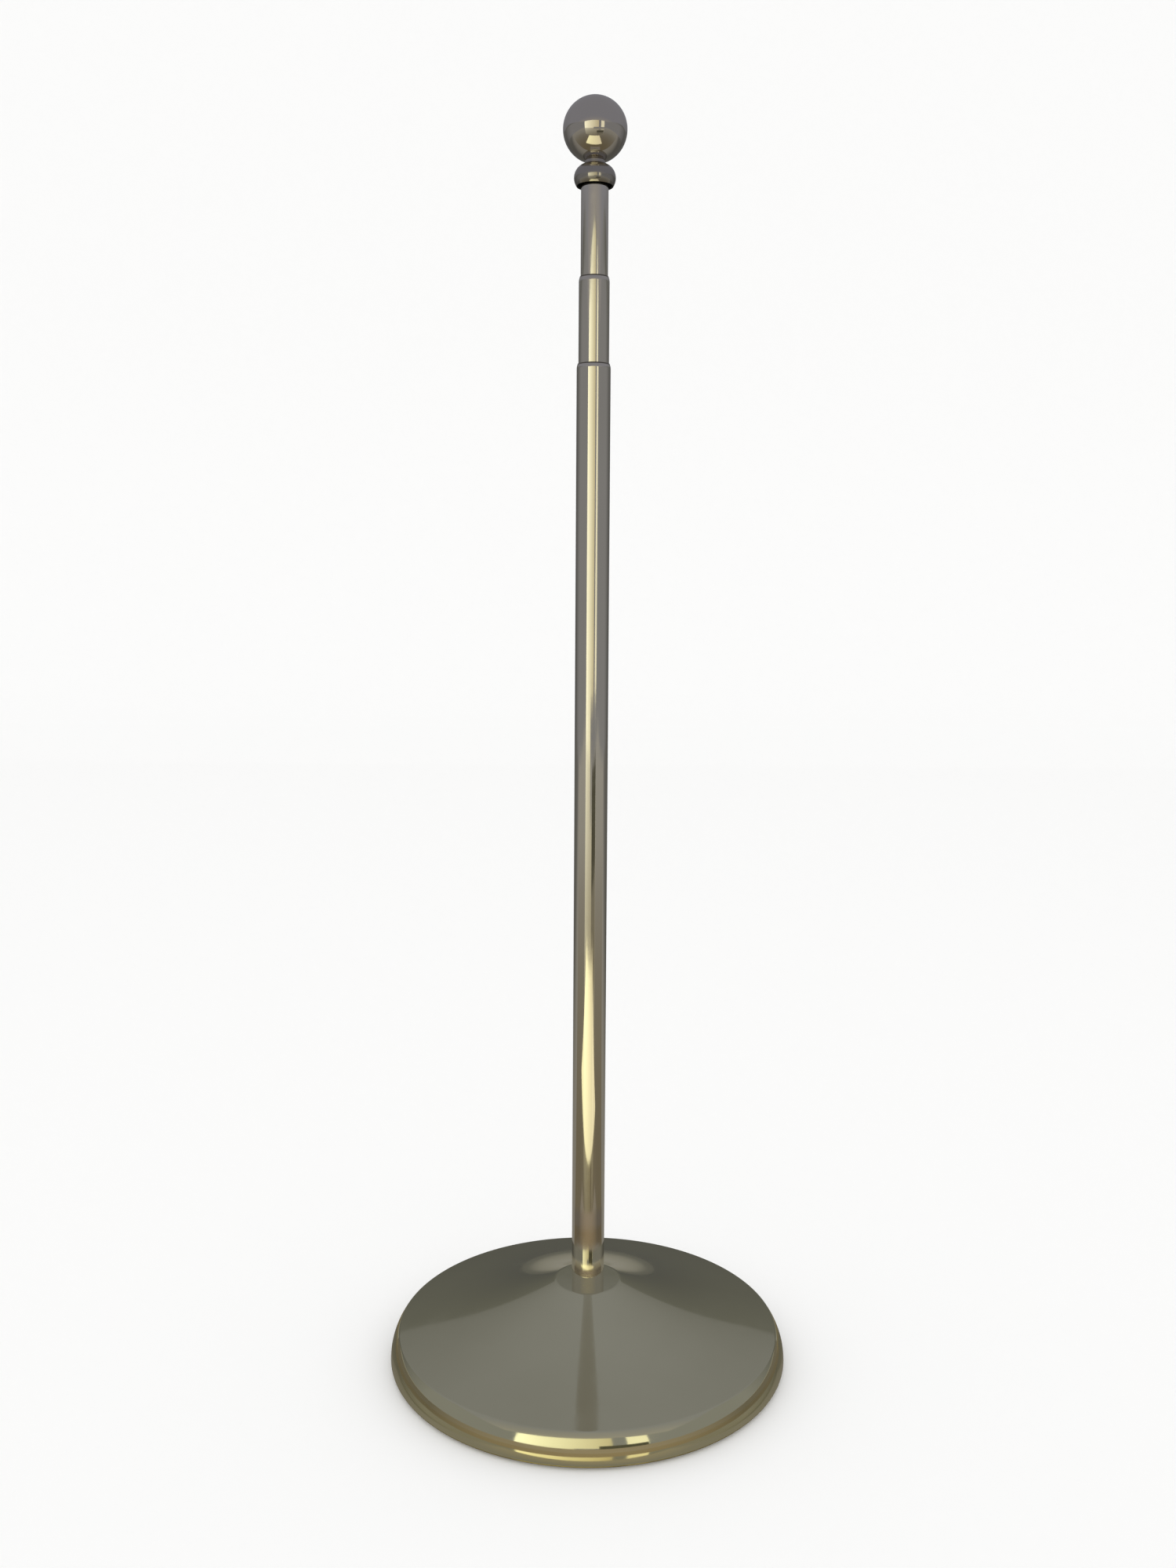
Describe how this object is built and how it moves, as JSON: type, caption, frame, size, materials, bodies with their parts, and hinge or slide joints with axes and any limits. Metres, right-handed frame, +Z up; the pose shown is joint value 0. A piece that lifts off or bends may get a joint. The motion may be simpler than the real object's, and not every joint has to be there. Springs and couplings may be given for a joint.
{
  "type": "telescopic indoor flagpole",
  "caption": "Telescopic indoor flagpole: polished tubes slide into each other on a weighted round base, with a ball finial on a bell cap.",
  "frame": {"origin": "middle of the stand's underside, on the floor", "axes": "+Z up along the pole; round about Z, so X and Y are free"},
  "size_m": [0.3876, 0.3876, 1.2051],
  "materials": {
    "cover_plate": "polished champagne nickel plate",
    "tube_plate": "polished champagne nickel plate, drawn tube",
    "finial_plate": "polished champagne nickel plate, spun and turned",
    "ballast_iron": "painted casting",
    "foot_rubber": "fine ribbed",
    "buffer_rubber": "smooth",
    "zinc_steel": "zinc plated",
    "turned_aluminium": "turned",
    "white_nylon": "moulded",
    "black_nylon": "moulded"
  },
  "bodies": {
    "stand": {"base_cover": "cover_plate", "base_weight": "ballast_iron", "base_pad": "foot_rubber", "tie_bolt": "zinc_steel", "tie_washer": "zinc_steel", "neck_spacer": "zinc_steel", "foot_plug": "turned_aluminium", "foot_buffer": "buffer_rubber", "lower_tube": "tube_plate", "lower_guide": "black_nylon"},
    "middle_stage": {"middle_tube": "tube_plate", "middle_glide": "white_nylon", "middle_plug": "black_nylon", "middle_buffer": "buffer_rubber", "middle_guide": "black_nylon"},
    "upper_stage": {"upper_tube": "tube_plate", "upper_glide": "white_nylon", "head_plug": "turned_aluminium", "finial_stud": "zinc_steel", "finial_bell": "finial_plate", "finial_ball": "finial_plate"}
  },
  "joints": [
    {"name": "middle_slide", "type": "slide", "parent": "stand", "child": "middle_stage", "axis": [0, 0, 1], "range_m": [0, 0.66]},
    {"name": "upper_slide", "type": "slide", "parent": "middle_stage", "child": "upper_stage", "axis": [0, 0, 1], "range_m": [0, 0.66]}
  ]
}
